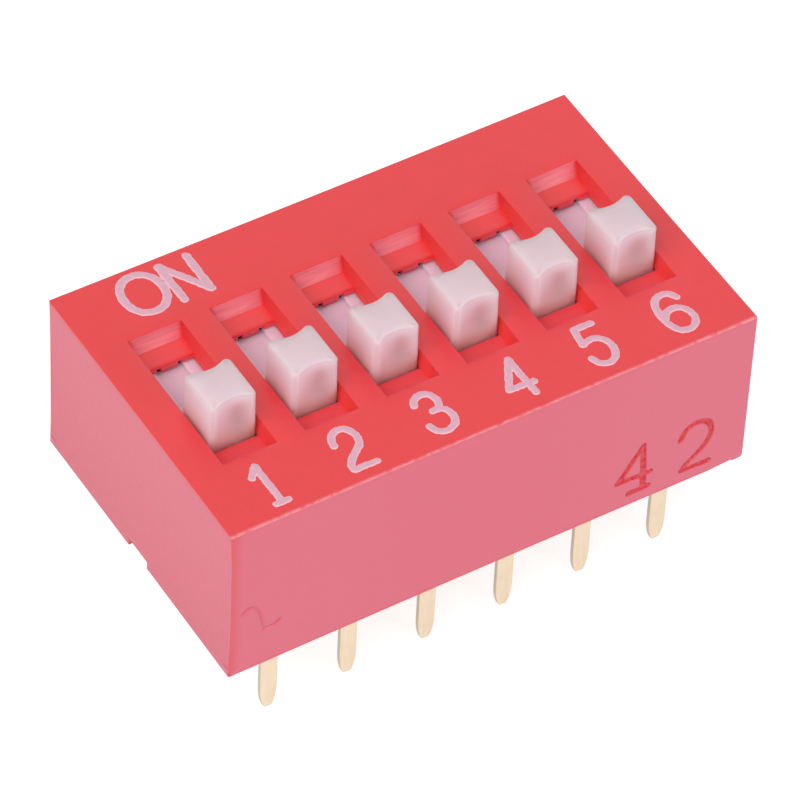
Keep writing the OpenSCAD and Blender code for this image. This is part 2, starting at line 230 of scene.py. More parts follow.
class SliderSettings(bpy.types.PropertyGroup):
    """Sizes and finish of a slider: the knob and the plate that it stands on."""
    knob_width: length("Knob width", "Width of the knob at the ledges", 1.475)
    knob_length: length("Knob length", "Length of the knob, corner to corner", 1.52)
    knob_lean: length("Knob lean", "How far each side leans in towards the top", 0.03)
    hollow: length("Hollow", "Radius of the hollows in front and back", 1.0)
    corner: length("Corner", "Radius of the knob's upright corners", 0.14)
    fade: length("Fade", "Height above the ledges at which the hollows reach their depth", 0.9)
    edge: length("Edge", "Rounding around the knob's top", 0.1)
    channel_width: length("Channel width", "Width between the runners underneath", 1.2)
    ledge: length("Ledge", "Depth of the ledges below the top face", 0.45)
    drop: length("Drop", "Depth of the plate below the top face", 0.7)
    plate: length("Plate", "Thickness of the plate", 0.85)
    groove_width: length("Groove width", "Width of the groove along the plate", 0.82)
    groove_depth: length("Groove depth", "Depth of that groove", 0.11)
    peg: length("Peg", "Diameter of the peg that holds the spring", 0.36)
    # Share of the painted shade that the knob's rounded edges get
    edge_shade_share: FloatProperty(name="Edge share", default=0.6, min=0, max=1,
                              description="How much of the thin colour the edges show")
    color: color("Colour", "Translucent plastic of the sliders", (0.785, 0.63, 0.675, 1))
    # Painted bounce light: red light from the housing, drawn into the knob low down
    red_bounce_color: color("Root colour", "Low on the knob, where red shines through",
                      (0.81, 0.42, 0.40, 1))
    # Painted light: the plate is drawn lighter and pinker than the knob, with red light
    # bounced from the walls painted in
    plate_painted_light: color("Plate colour", "On the plate, which the red walls tint",
                       (0.86, 0.62, 0.74, 1))
    # Painted shade: darker in the middle of the hollows and over the knob's rounded edges
    painted_shade_color: color("Thin colour", "Where the hollows make the knob thin",
                      (0.65, 0.46, 0.47, 1))


class TerminalSettings(bpy.types.PropertyGroup):
    """Sizes and finish of the terminals."""
    strip: length("Strip", "Thickness of the strip", 0.16)
    inner_width: length("Inner width", "Width of the strip in the base", 0.9)
    pin_width: length("Pin width", "Width of a pin", 0.54)
    bend: length("Bend", "Outer radius of the bend to the contact pad", 0.35)
    shoulder: length("Shoulder", "Height at which a pin begins to widen", 0.66)
    tip_length: length("Tip length", "Length of the tapered tip", 1.0)
    tip_width: length("Tip width", "Width of the end of a pin", 0.24)
    color: color("Colour", "Thin gold on the faces", (0.76, 0.625, 0.465, 1))
    edge_color: color("Edge colour", "Cut edges of the strip", (0.50, 0.44, 0.35, 1))


class PrintSettings(bpy.types.PropertyGroup):
    """Sizes and finish of the print on the top face."""
    word_stroke: length("Word stroke", "Width of the strokes of the word", 0.25)
    number_stroke: length("Number stroke", "Width of the strokes of the numbers", 0.222)
    height: length("Height", "Thickness of the ink", 0.016)
    color: color("Colour", "Ink in the middle of a stroke", (0.80, 0.45, 0.56, 1))
    edge_color: color("Edge colour", "Ink along the edges of a stroke", (0.95, 0.55, 0.60, 1))


class InsideSettings(bpy.types.PropertyGroup):
    """Finish of the seal, the base and the springs."""
    resin_color: color("Resin colour", "Resin where it is clear", (0.46, 0.26, 0.09, 1))
    cloud_color: color("Cloud colour", "Resin where it is cloudy", (0.60, 0.38, 0.15, 1))
    base_color: color("Base colour", "Filled plastic of the base", (0.018, 0.018, 0.02, 1))
    fleck_color: color("Fleck colour", "Fibres in that plastic", (0.05, 0.05, 0.055, 1))
    spring_color: color("Spring colour", "Metal of the springs", (0.78, 0.50, 0.22, 1))
    line_color: color("Line colour", "Rolled lines in that metal", (0.88, 0.62, 0.32, 1))


class StageSettings(bpy.types.PropertyGroup):
    """Floor, lamps and camera."""
    floor: FloatProperty(name="Floor", description="Length of a side of the floor",
                         default=1.0, min=0.1, unit="LENGTH")
    around: FloatProperty(name="Surroundings", description="Light from all around",
                          default=0.42, min=0)
    key: FloatProperty(name="Key lamp", description="Lamp above the camera, in watts",
                       default=1.22, min=0)
    fill: FloatProperty(name="Fill lamp", description="Lamp low in front, in watts",
                        default=0.3, min=0)
    glow: FloatProperty(name="Floor glow", description="Floor's own light where it is seen",
                        default=0.76, min=0)
    lens: FloatProperty(name="Lens", description="Focal length in millimetres",
                        default=278.1, min=1, subtype="DISTANCE_CAMERA")


class SwitchSettings(bpy.types.PropertyGroup):
    """Everything that a user may change."""
    housing: PointerProperty(type=HousingSettings)
    slider: PointerProperty(type=SliderSettings)
    terminal: PointerProperty(type=TerminalSettings)
    print: PointerProperty(type=PrintSettings)
    inside: PointerProperty(type=InsideSettings)
    stage: PointerProperty(type=StageSettings)


class Shell:
    """Grids of points, gathered and then welded into one closed surface."""

    def __init__(self):
        self.points, self.marks, self.quads, self.caps = [], [], [], []
        self.count = 0

    def grid(self, points, ring=False, mark=0.0):
        """Adds rows of points, which keep mark. ring joins the last column to the first."""
        rows, columns = points.shape[:2]
        index = self.count + np.arange(rows * columns).reshape(rows, columns)
        self.points.append(points.reshape(-1, 3))
        self.marks.append(np.broadcast_to(mark, (rows, columns)).ravel())
        self.count += rows * columns
        joined = np.hstack([index, index[:, :1]]) if ring else index
        self.faces(joined[:-1, :-1], joined[:-1, 1:], joined[1:, 1:], joined[1:, :-1])
        return index

    def faces(self, *corners):
        """Adds quads, given as four equal arrays of point numbers."""
        self.quads.append(np.stack(corners, -1).reshape(-1, 4))

    def cap(self, loop):
        """Closes a loop of point numbers with one flat face."""
        self.caps.append(loop)

    def object(self, name, angle=35):
        """Welds equal points, drops what has no area, and makes the object."""
        points = np.concatenate(self.points)
        _, first, number = np.unique(np.rint(points / WELD).astype(np.int64), axis=0,
                                     return_index=True, return_inverse=True)
        number = number.ravel()
        quads = number[np.concatenate(self.quads)]
        quads = quads[(quads[:, 0] != quads[:, 2]) & (quads[:, 1] != quads[:, 3])]
        same = quads == np.roll(quads, -1, axis=1)
        merged = same.sum(1)
        start = same[merged == 1].argmax(1)[:, None]
        triangles = np.take_along_axis(quads[merged == 1], (start + [1, 2, 3]) % 4, axis=1)
        caps = [number[loop] for loop in self.caps]
        faces = [quads[merged == 0], triangles] + [cap[None] for cap in caps]
        used, flat = np.unique(np.concatenate([f.ravel() for f in faces]), return_inverse=True)
        flat = flat.ravel()
        ends = np.cumsum([f.size for f in faces])[:-1]
        lists = [part.reshape(f.shape).tolist()
                 for part, f in zip(np.split(flat, ends), faces)]

        mesh = bpy.data.meshes.new(name)
        mesh.from_pydata(points[first][used], [], [face for part in lists for face in part])
        mark = mesh.attributes.new("mark", "FLOAT", "POINT")
        marks = np.concatenate(self.marks)[first][used]
        mark.data.foreach_set("value", marks.astype(np.float32))
        work = bmesh.new()
        work.from_mesh(mesh)
        bmesh.ops.recalc_face_normals(work, faces=work.faces)
        work.to_mesh(mesh)
        work.free()
        mesh.shade_smooth()
        mesh.set_sharp_from_angle(angle=np.radians(angle))
        piece = bpy.data.objects.new(name, mesh)
        bpy.context.scene.collection.objects.link(piece)
        weighted = piece.modifiers.new("Even shading", "WEIGHTED_NORMAL")
        weighted.keep_sharp = True
        return piece


def place(piece, body, slot, finish, *nodes):
    """Gives a piece its finish and its body, and hides the solids that it stands for. The slot
    is not used.
    """
    piece.data.materials.append(finish)
    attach(piece, body)
    if nodes:
        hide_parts(*nodes)


def corners(node):
    """Lowest and highest corner of a solid, as arrays."""
    return (np.array(corner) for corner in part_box(node))


def switch_places():
    """X of the middle of every switch, from the solids."""
    return [sum(corners(f"slider_{number}"))[0] / 2 for number in range(1, SWITCHES + 1)]


def smooth_step(t):
    """0 below 0, 1 above 1, and 3t^2 - 2t^3 between."""
    t = np.clip(t, 0, 1)
    return t * t * (3 - 2 * t)


def hump(t):
    """1 halfway from 0 to 1 and 0 outside: 4t(1 - t)."""
    t = np.clip(t, 0, 1)
    return 4 * t * (1 - t)


def ripple(u, v, seed):
    """Random heights from -1 to 1 on a unit grid, blended with a smooth step between."""
    heights = np.random.default_rng(seed).uniform(-1, 1, (64, 64))
    i, j = np.floor(u).astype(int), np.floor(v).astype(int)
    a, b = smooth_step(u - i), smooth_step(v - j)
    near = (1 - a) * heights[i % 64, j % 64] + a * heights[(i + 1) % 64, j % 64]
    far = (1 - a) * heights[i % 64, (j + 1) % 64] + a * heights[(i + 1) % 64, (j + 1) % 64]
    return (1 - b) * near + b * far


def turn(middle, radius, start, end, steps):
    """Points on an arc from one angle to another, in degrees."""
    angle = np.radians(np.linspace(start, end, steps + 1))
    return np.array(middle) + radius * np.column_stack([np.cos(angle), np.sin(angle)])


def smooth_line(points, steps=8):
    """Catmull-Rom curve through the points: each span blends its two ends with the slopes
    that the points beside them give."""
    p = np.array(points, float)
    closed = np.allclose(p[0], p[-1])
    before, after = (p[-2], p[1]) if closed else (2 * p[0] - p[1], 2 * p[-1] - p[-2])
    p = np.vstack([before, p, after])
    a, b, c, d = p[:-3, None], p[1:-2, None], p[2:-1, None], p[3:, None]
    t = np.linspace(0, 1, steps, endpoint=False)[None, :, None]
    line = (2 * b + (c - a) * t + (2 * a - 5 * b + 4 * c - d) * t**2
            + (3 * b - a - 3 * c + d) * t**3) / 2
    return np.vstack([line.reshape(-1, 2), p[-2]])


def stroke_distance(u, v, strokes):
    """Distance in metres from every point (u, v) to the nearest stroke: to the foot of the
    perpendicular on each straight bit, held between the bit's ends."""
    lines = [(smooth_line(points) if curved else np.array(points)) * MM
             for curved, points in strokes]
    start = np.vstack([line[:-1] for line in lines])
    run = np.vstack([line[1:] for line in lines]) - start
    gap = np.stack([u, v], -1)[..., None, :] - start
    along = np.clip((gap * run).sum(-1) / (run * run).sum(-1), 0, 1)
    return np.linalg.norm(gap - along[..., None] * run, axis=-1).min(-1)


def rounded(points, radius, steps=4):
    """Polygon whose corners are replaced by parabolas that begin and end radius from them."""
    p = np.array(points, float)
    back, ahead = np.roll(p, 1, 0) - p, np.roll(p, -1, 0) - p
    back *= radius / np.linalg.norm(back, axis=1, keepdims=True)
    ahead *= radius / np.linalg.norm(ahead, axis=1, keepdims=True)
    t = np.linspace(0, 1, steps + 1)[None, :, None]
    return (p[:, None] + back[:, None] * (1 - t)**2 + ahead[:, None] * t**2).reshape(-1, 2)


def level(points, z):
    """The points at one height, or at a height for each."""
    return np.column_stack([points, np.broadcast_to(z, len(points))])


def shrunk(outline, inset):
    """Closed outline moved inward, square to the line between each point's neighbours."""
    run = np.roll(outline, -1, 0) - np.roll(outline, 1, 0)
    normal = np.column_stack([-run[:, 1], run[:, 0]])
    return outline + normal / np.linalg.norm(run, axis=1, keepdims=True) * inset


def turned(shell, profile, middle, steps=32):
    """Adds a profile of (radius, height) pairs carried round an upright axis."""
    angle = np.linspace(0, 2 * np.pi, steps, endpoint=False)
    radius, height = np.array(profile).T[..., None]
    x, y = middle[0] + radius * np.cos(angle), middle[1] + radius * np.sin(angle)
    shell.grid(np.stack([x, y, height + 0 * angle], -1), ring=True)


def strip(shell, line, half_width, thickness, corner, middle_x=0.0):
    """Adds a rounded-rectangle section carried along a line of (y, z) points.

    Its width lies along X and may change along the line. The section stands square to the
    line; its ends draw in over one corner radius and close on the line's end points.
    """
    line = np.array(line)
    half_width = np.broadcast_to(half_width, len(line))
    run = np.gradient(line, axis=0)
    run /= np.linalg.norm(run, axis=1, keepdims=True)
    first, last = run[0] * corner, run[-1] * corner
    line = np.vstack([line[[0, 0]], line[0] + first, line[1:-1], line[-1] - last,
                      line[[-1, -1]]])
    run = np.vstack([run[[0, 0]], run, run[[-1, -1]]])
    half_width = np.concatenate([half_width[[0, 0]], half_width, half_width[[-1, -1]]])
    draw = np.full(len(line), 0.0)
    draw[[1, -2]] = corner
    angle = np.radians(np.concatenate([np.linspace(q, q + 90, 4) for q in (0, 90, 180, 270)]))
    side = np.repeat([1, -1, -1, 1], 4)
    face = np.repeat([1, 1, -1, -1], 4)
    across = side * (half_width - corner)[:, None] + (corner - draw)[:, None] * np.cos(angle)
    through = face * (thickness / 2 - corner) + (corner - draw)[:, None] * np.sin(angle)
    across[[0, -1]] = 0
    through[[0, -1]] = 0
    y = line[:, :1] - run[:, 1:] * through
    z = line[:, 1:] + run[:, :1] * through
    shell.grid(np.stack([middle_x + across, y, z], -1), ring=True, mark=np.cos(angle)**2)


def add_node(tree, kind, inputs=(), **settings):
    """Adds a node. Each input is given as its name or number, and a value or an output."""
    node = tree.nodes.new(kind)
    for name, value in settings.items():
        setattr(node, name, value)
    for name, value in dict(inputs).items():
        if isinstance(value, bpy.types.NodeSocket):
            tree.links.new(value, node.inputs[name])
        else:
            node.inputs[name].default_value = value
    return node


class Finish:
    """A material under construction: the shader's sockets are set, then nodes are added."""

    def __init__(self, name, **sockets):
        self.material = bpy.data.materials.new(name)
        self.material.use_nodes = True
        self.tree = self.material.node_tree
        self.shader = self.tree.nodes["Principled BSDF"]
        for socket, value in sockets.items():
            self.shader.inputs[socket.replace("_", " ")].default_value = value
        self.place = self.add("ShaderNodeTexCoord").outputs["Object"]

    def add(self, kind, inputs=(), **settings):
        """Adds a node to the material."""
        return add_node(self.tree, kind, inputs, **settings)

    def noise(self, size, detail, stretch=(1, 1, 1)):
        """Noise from 0 to 1 whose features are about size metres across."""
        place = self.add("ShaderNodeMapping", {"Vector": self.place, "Scale": stretch})
        inputs = {"Vector": place.outputs[0], "Scale": 1 / size, "Detail": detail}
        return self.add("ShaderNodeTexNoise", inputs).outputs[0]

    def ramp(self, value, low, high, start=0.0, end=1.0):
        """start where value is at or below low, end where it is at or above high."""
        inputs = {"Value": value, 1: low, 2: high, 3: start, 4: end}
        return self.add("ShaderNodeMapRange", inputs, clamp=True).outputs[0]

    def clouds(self, size, detail, edge=0.35, stretch=(1, 1, 1), **ends):
        """Noise whose range from edge to 1 - edge is spread from start to end."""
        return self.ramp(self.noise(size, detail, stretch), edge, 1 - edge, **ends)

    def times(self, a, b):
        """Product of two values."""
        return self.add("ShaderNodeMath", {0: a, 1: b}, operation="MULTIPLY").outputs[0]

    def split(self):
        """X, Y and Z of the place on the piece."""
        return self.add("ShaderNodeSeparateXYZ", {0: self.place}).outputs

    def mix(self, share, a, b):
        """Colour a, or colour b where share is 1."""
        inputs = {0: share, 6: a, 7: b}
        return self.add("ShaderNodeMix", inputs, data_type="RGBA").outputs[2]

    def mark(self):
        """Mark that a piece's points carry."""
        return self.add("ShaderNodeAttribute", attribute_name="mark").outputs["Fac"]

    def link(self, socket, value):
        """Feeds an output to one of the shader's sockets."""
        self.tree.links.new(value, self.shader.inputs[socket])

    def bump(self, height, distance, strength=1.0):
        """Raises the surface by height times distance."""
        inputs = {"Height": height, "Distance": distance, "Strength": strength}
        self.link("Normal", self.add("ShaderNodeBump", inputs).outputs[0])

    def grain(self, size, distance, strength, detail=3):
        """Raises the surface by a fine noise."""
        self.bump(self.noise(size, detail), distance, strength)

    def roughness(self, size, low, high, detail=3):
        """Lets the roughness drift from low to high in patches of about size metres."""
        self.link("Roughness", self.clouds(size, detail, 0.3, start=low, end=high))


def tint(rgba, factor):
    """The same colour, lighter or darker."""
    return tuple(min(1.0, c * factor) for c in rgba[:3]) + (1,)


def moulded_red(settings):
    """Red housing plastic: fine spark-eroded grain, faint clouds, pale burr along one edge."""
    finish = Finish("moulded_red", IOR=1.55, Specular_IOR_Level=0.8, Sheen_Weight=0.5,
                    Sheen_Roughness=0.5, Sheen_Tint=settings.veil)
    low, high = corners("housing")
    x, y, z = finish.split()
    mark = finish.mark()
    red = settings.color

    # The plain plastic: clouds and pale grains, and painted shade that darkens the left wall
    # towards the rim
    clouds = finish.clouds(0.7 * MM, 4)
    tone = finish.mix(clouds, tint(red, 0.98), tint(red, 1.02))
    grains = finish.clouds(0.055 * MM, 2, end=0.5)
    tone = finish.mix(grains, tone, (red[0], red[1] + 0.02, red[2] + 0.02, 1))
    left = finish.ramp(x, low[0] + 0.01 * MM, low[0] + 0.08 * MM, 1, 0)
    left_painted_shade = finish.times(left, finish.ramp(z, 0.3 * MM, 4 * MM, 0.5, 0))
    tone = finish.mix(left_painted_shade, tone, tint(red, 0.78))

    # Painted sheen: a paler front wall, less so at its left edge and at the rim, and paler
    # streaked far ends of the windows, a little of which also goes on their ledges
    front = finish.ramp(y, low[1] + 0.02 * MM, low[1] + 0.11 * MM, 1, 0)
    edge = finish.ramp(x, low[0] + 0.12 * MM, low[0] + 0.4 * MM, 0.3, 1)
    rise = finish.ramp(z, 0.04 * MM, 0.16 * MM, 0.4, 1)
    painted_sheen = finish.times(front, finish.times(edge, rise))
    tone = finish.mix(painted_sheen, tone, settings.painted_sheen)
    streaks = finish.clouds(0.06 * MM, 3, stretch=(0.08, 1, 1))
    pale = finish.mix(streaks, tint(settings.end_painted_sheen, 0.9), tint(settings.end_painted_sheen, 1.09))
    tone = finish.mix(finish.ramp(mark, -1, 0, 1, 0), tone, pale)

    # Painted shade, darker where something is cut: along the cut strokes and the faint mark;
    # and the burr along the front of the top face
    tone = finish.mix(finish.ramp(mark, 0, 0.5), tone, settings.cut_painted_shade)
    top = finish.ramp(z, high[2] - 0.06 * MM, high[2] - 0.03 * MM)
    specks = finish.ramp(finish.noise(0.2 * MM, 4), 0.36, 0.56)
    burr = finish.times(finish.times(front, top), specks)
    finish.link("Base Color", finish.mix(burr, tone, settings.burr_color))
    finish.roughness(0.25 * MM, 0.37, 0.41, 4)
    finish.grain(0.08 * MM, 0.007 * MM, 0.7)
    return finish.material


def window_red(settings):
    """The same plastic on the windows' sides: no pale film, painted lighter than the housing,
    and painted shade that deepens towards the ends.
    """
    finish = Finish("window_red", IOR=1.5, Specular_IOR_Level=0.3)
    y = finish.split()[1]
    # Painted shade: darker towards the far end of a side, and half as much towards the near
    # end
    far = finish.ramp(y, 1.0 * MM, 2.6 * MM)
    near = finish.ramp(y, -2.2 * MM, -1.3 * MM, 0.5, 0)
    ends = finish.add("ShaderNodeMath", {0: far, 1: near}, operation="ADD").outputs[0]
    tone = finish.mix(ends, settings.side_color, settings.side_shade)
    clouds = finish.clouds(0.4 * MM, 3, end=0.15)
    finish.link("Base Color", finish.mix(clouds, tone, settings.side_cloud))
    finish.roughness(0.25 * MM, 0.4, 0.5)
    finish.grain(0.08 * MM, 0.007 * MM, 0.7)
    return finish.material


def cut_red(settings):
    """The same plastic in the cut strokes: no pale film, and painted shade on their steep
    sides, so they are lighter along their middle.
    """
    finish = Finish("cut_red", IOR=1.5, Specular_IOR_Level=0.25)
    clouds = finish.clouds(0.15 * MM, 3)
    tone = finish.mix(clouds, settings.cut_cloud, settings.cut_color)
    middle = finish.ramp(finish.mark(), 0.65, 1)
    finish.link("Base Color", finish.mix(middle, settings.cut_shade, tone))
    finish.roughness(0.2 * MM, 0.45, 0.6)
    finish.grain(0.08 * MM, 0.01 * MM, 0.7)
    return finish.material


def milky_white(settings):
    """Slider plastic: light passes a little way in, so the corners glow."""
    finish = Finish("milky_white", IOR=1.5, Specular_IOR_Level=0.2, Subsurface_Weight=1.0,
                    Subsurface_Radius=(1.0, 0.75, 0.8))
    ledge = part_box("housing")[1][2] - settings.ledge
    z = finish.split()[2]
    clouds = finish.clouds(0.9 * MM, 2, 0.3)
    tone = finish.mix(clouds, tint(settings.color, 0.98), tint(settings.color, 1.02))
    # Painted bounce light: redder low on the knob, near the red ledges
    root = finish.ramp(z, ledge, ledge + 1.1 * MM, 1, 0)
    tone = finish.mix(root, tone, settings.red_bounce_color)
    # Painted shade where the marks are: in the hollows and on the rounded edges
    tone = finish.mix(finish.mark(), tone, settings.painted_shade_color)
    # Painted light on the plate, below the ledges
    plate = finish.ramp(z, ledge - 0.22 * MM, ledge - 0.02 * MM, 1, 0)
    finish.link("Base Color", finish.mix(plate, tone, settings.plate_painted_light))
    finish.link("Subsurface Scale", finish.ramp(plate, 0, 1, 1.8 * MM, 0.4 * MM))
    finish.roughness(0.3 * MM, 0.38, 0.5)
    finish.grain(0.07 * MM, 0.003 * MM, 0.5)
    return finish.material


def thin_gold(settings):
    """Thin gold on a stamped strip: rolled lines along it and greyer cut edges."""
    finish = Finish("thin_gold", Metallic=1.0)
    gold = settings.color
    lines = finish.noise(0.05 * MM, 3, (1, 1, 0.06))
    faces = finish.mix(finish.ramp(lines, 0.3, 0.7), tint(gold, 0.95), tint(gold, 1.04))
    blotches = finish.ramp(finish.noise(0.5 * MM, 3), 0.45, 0.75, 0, 0.35)
    faces = finish.mix(blotches, faces, tint(gold, 0.86))
    edge = finish.ramp(finish.mark(), 0.3, 0.9)
    finish.link("Base Color", finish.mix(edge, faces, settings.edge_color))
    finish.link("Roughness", finish.ramp(lines, 0.3, 0.7, 0.28, 0.42))
    finish.bump(lines, 0.002 * MM, 0.5)
    return finish.material


def screen_ink(settings):
    """Print ink: thicker and lighter along the edges of each stroke."""
    finish = Finish("screen_ink", IOR=1.48, Roughness=0.5)
    clouds = finish.clouds(0.15 * MM, 3)
    tone = finish.mix(clouds, tint(settings.color, 0.95), tint(settings.color, 1.04))
    edge = finish.ramp(finish.mark(), 0.55, 0.85)
    finish.link("Base Color", finish.mix(edge, tone, settings.edge_color))
    finish.grain(0.05 * MM, 0.003 * MM, 0.6)
    return finish.material


def cast_resin(settings):
    """Amber sealing resin: cloudy, glossy and a little translucent."""
    finish = Finish("cast_resin", IOR=1.55, Roughness=0.16, Coat_Weight=0.4,
                    Subsurface_Weight=0.4, Subsurface_Scale=0.3 * MM)
    clouds = finish.clouds(0.8 * MM, 4, 0.3)
    finish.link("Base Color", finish.mix(clouds, settings.resin_color, settings.cloud_color))
    finish.grain(0.6 * MM, 0.01 * MM, 0.5, 2)
    return finish.material


def dark_base(settings):
    """Near-black filled plastic of the base, with pale fibre flecks."""
    finish = Finish("dark_base", IOR=1.55)
    flecks = finish.ramp(finish.noise(0.06 * MM, 2, (1, 0.25, 1)), 0.62, 0.7)
    finish.link("Base Color", finish.mix(flecks, settings.base_color, settings.fleck_color))
    finish.roughness(0.3 * MM, 0.42, 0.6)
    finish.grain(0.08 * MM, 0.004 * MM, 0.6)
    return finish.material


def spring_alloy(settings):
    """Gold-flashed copper alloy of the contact springs, rolled along Y."""
    finish = Finish("spring_alloy", Metallic=1.0)
    lines = finish.clouds(0.04 * MM, 3, 0.3, (1, 0.06, 1))
    finish.link("Base Color", finish.mix(lines, settings.spring_color, settings.line_color))
    finish.link("Roughness", finish.ramp(lines, 0, 1, 0.22, 0.36))
    finish.bump(lines, 0.002 * MM, 0.5)
    return finish.material


def between_pairs(values):
    """1 from the first repeated value to the second, from the third to the fourth, and on."""
    return np.cumsum(np.append(0, values[1:] == values[:-1])) % 2


def cell_columns(s):
    """Columns from -1 to 1 across the front of each switch's cell, and across every back.

    They stand at even steps, and twice at both edges of the two reliefs.
    """
    edges = np.array([s.tongue_width / 2, s.tongue_width / 2 + s.relief_width])
    relief = edges / (s.window_width / 2 - s.side_lean)
    relief = np.repeat(np.concatenate([-relief[::-1], relief]), 2)
    return [np.sort(np.concatenate([np.linspace(-1, 1, steps + 1), relief]))
            for steps in CELL_STEPS]


def end_columns(s, half):
    """Columns along an end wall, and 1 for each one whose foot the vent raises.

    The vent's edge stands twice, once raised and once not, so that the step is upright.
    """
    vent, groove = s.vent_width / 2, s.bead_length / 2
    y = np.array([0, vent, vent, 1.0 * MM, groove, groove + 0.02 * MM, 2.2 * MM, REACH,
                  3.6 * MM, half[1] - s.side_wall, half[1] - s.worn,
                  half[1] - 0.4 * s.worn, half[1] - s.corner])
    raised = np.array([1, 1] + [0] * (len(y) - 2))
    return np.concatenate([-y[:0:-1], y]), np.concatenate([raised[:0:-1], raised])


def wall_columns(s, half, cells):
    """Place, outward direction and share of the vent's rise of every column of the cover.

    They go along the front, up the right end, back along the rear and down the left end.
    Along a wall they step by its own columns, and round a corner the direction turns.
    """
    *fronts, back = (cell * s.pitch / 2 for cell in cells)
    ends = np.linspace(SWITCHES / 2 * s.pitch, half[0] - s.corner, 10)
    front = np.concatenate([-ends[::-1], *map(np.add, switch_places(), fronts), ends])
    rear = np.concatenate([-ends[::-3], *(x + back for x in switch_places()), ends[::3]])
    side, raised = end_columns(s, half)
    middle, normal, lift = [], [], []
    walls = (-90, front, 0), (0, side, raised), (90, rear, 0), (180, side, raised)
    for start, run, up in walls:
        bend = turn((0, 0), 1, start, start + 90, 6)
        out, along = np.rint(bend[[0, -1]])  # Away from the wall, and the way along it
        middle += [run[:, None] * along + out * (half - s.corner),
                   np.tile((out + along) * (half - s.corner), (len(bend), 1))]
        normal += [np.tile(out, (len(run), 1)), bend]
        lift += [np.broadcast_to(up, len(run)), np.zeros(len(bend))]
    normal = np.vstack(normal)
    return np.vstack(middle) + normal * s.corner, normal, np.concatenate(lift)


def worn_height(s, half, points):
    """Height of the right end's lower corners: a quarter circle over each wall's last bit."""
    near = np.clip(((abs(points) - half + s.worn) / s.worn).min(1), 0, 1)
    return s.worn * (1 - np.sqrt(1 - (near * (points[:, 0] > 0))**2))


def outer_wall(s, half, top, base, normal, foot):
    """Rows of points up the outer wall and round its top edge, and the mark of each point.

    A point moves inward by the wall's bow, a square law, by the left end's waist, half a
    sine wave, and by the depth of a stroke cut there, and outward by the burr of the edge.
    """
    round_over = turn((-s.edge, top - s.edge), s.edge, 0, 90, 5)
    heights = np.concatenate([[s.rim, s.rim + s.vent_height], FINE_ROWS * MM,
                              PLAIN_ROWS * MM, round_over[:, 1]])
    inset = np.append(np.zeros(len(heights) - len(round_over)), round_over[:, 0])
    height = np.maximum(heights[:, None], foot)
    x = np.broadcast_to(base[:, 0], height.shape)
    is_front = normal[:, 1] == -1

    wobble = 0.015 * MM * ripple(x / (0.3 * MM), height / (0.3 * MM), 3)
    cut = s.digit_width / 2 + wobble - stroke_distance(x, height, MOULD_DIGITS)
    cut = is_front * smooth_step(cut / (0.035 * MM))
    faint = s.mark_width / 2 - stroke_distance(x, height, MOULD_MARK)
    faint = is_front * smooth_step(faint / (0.05 * MM))
    burr = is_front * np.maximum(ripple(x / (0.12 * MM), 0 * height, 5), 0) * s.burr
    burr = burr * (inset < -0.3 * s.edge)[:, None]

    arch = 1 - (base / half)**2
    bow = s.bow * (arch[:, 0] * (abs(normal[:, 1]) == 1)
                   + 0.4 * arch[:, 1] * (abs(normal[:, 0]) == 1))
    rise = (height - s.rim) / (top - s.rim)
    waist = s.waist * np.maximum(-normal[:, 0], 0) * np.sin(np.pi * rise)
    out = inset[:, None] - bow - waist - s.digit_depth * cut - s.mark_depth * faint + burr
    wall = np.stack([base[:, 0] + normal[:, 0] * out, base[:, 1] + normal[:, 1] * out,
                     height + 0.6 * burr], -1)
    return wall, np.maximum(cut, 0.25 * faint)


def window_levels(s, top):
    """Rings of a window from the top face down: (half width, half length, height).

    The edge rounds over, the walls lean in to the ledges, and the ledges round over into
    the opening, which drops to the ceiling of the cavity.
    """
    edge, ease = s.window_edge, 0.004 * MM
    wide, long = s.window_width / 2, s.window_length / 2
    ledge, ceiling = top - s.window_depth, top - s.roof
    lean = 1 - edge / s.window_depth
    rows = [(wide + edge - x, long + edge - x, top - edge + z)
            for x, z in turn((0, 0), edge, 90, 0, 4)]
    rows.append((wide - s.side_lean * lean, long - s.end_lean * lean, ledge + edge))
    wide, long = wide - s.side_lean, long - s.end_lean
    rows += [(wide, long - 0.2 * edge, ledge + 0.3 * edge),
             (wide - 0.1 * edge, long - edge, ledge)]
    wide, long = wide - 2 * ease, s.opening / 2
    rows += [(wide + ease * (1 - z), long + s.lip * (1 - x), ledge - s.lip * (1 - z))
             for x, z in turn((0, 0), 1, 90, 0, 5)]
    return rows + [(wide, long, ceiling + s.relief), (wide, long, ceiling)]


